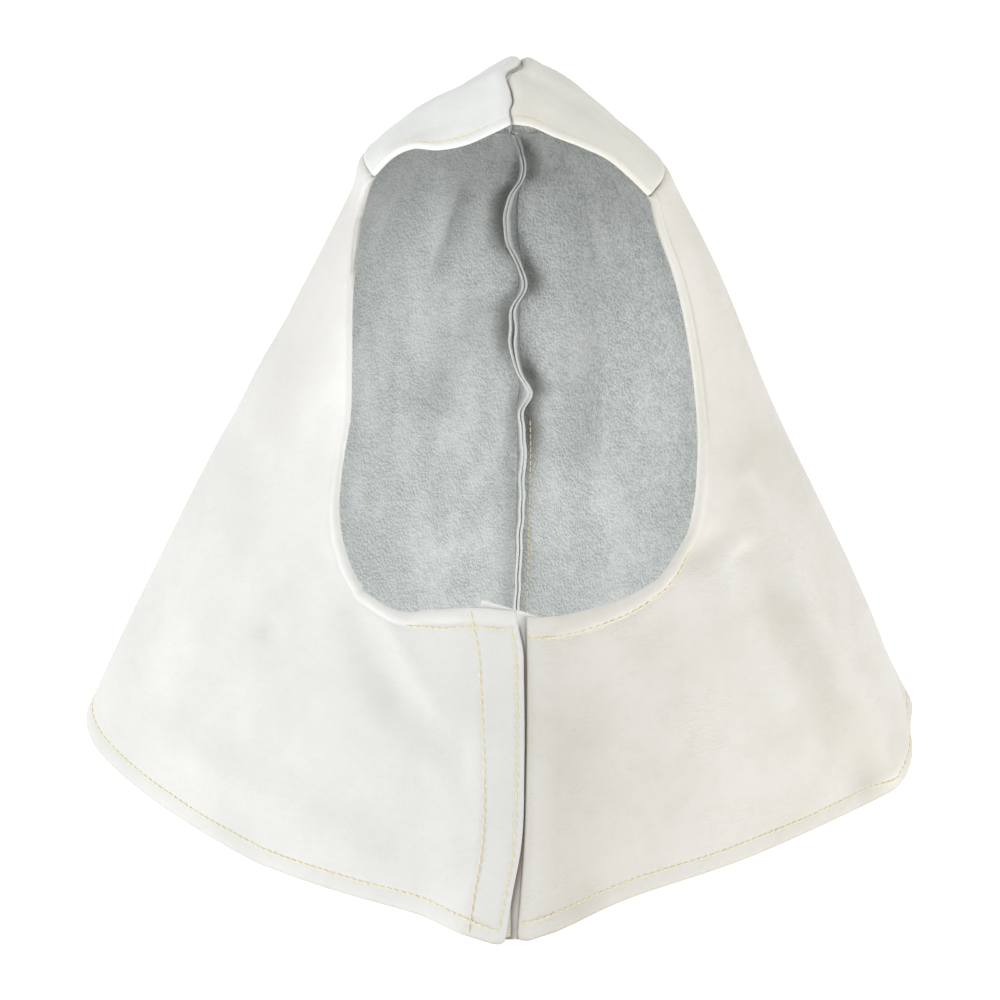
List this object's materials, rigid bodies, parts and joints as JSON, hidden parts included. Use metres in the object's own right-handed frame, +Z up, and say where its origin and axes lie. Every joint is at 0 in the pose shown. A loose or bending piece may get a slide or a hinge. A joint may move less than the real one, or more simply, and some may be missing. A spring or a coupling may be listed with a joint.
{
  "type": "welding hood",
  "caption": "Soft leather hood with a gabled crown, an arched face opening, a flared shoulder cape and a lapped front closure, standing open on its hem.",
  "frame": {"origin": "middle of the bounding box, on the ground under the hem", "axes": "+Z up towards the crown, the face opening looks along -Y, +X to the right as seen from the front"},
  "size_m": [0.4828, 0.3647, 0.4172],
  "materials": {
    "leather": "white grain outside, grey suede inside, matte",
    "tape": "woven hook and loop tape, matte"
  },
  "bodies": {
    "root": {"crown_left": "leather", "crown_right": "leather", "side_left": "leather", "side_right": "leather", "underlap": "leather", "hook_strip": "tape", "loop_strip": "tape"}
  },
  "joints": []
}
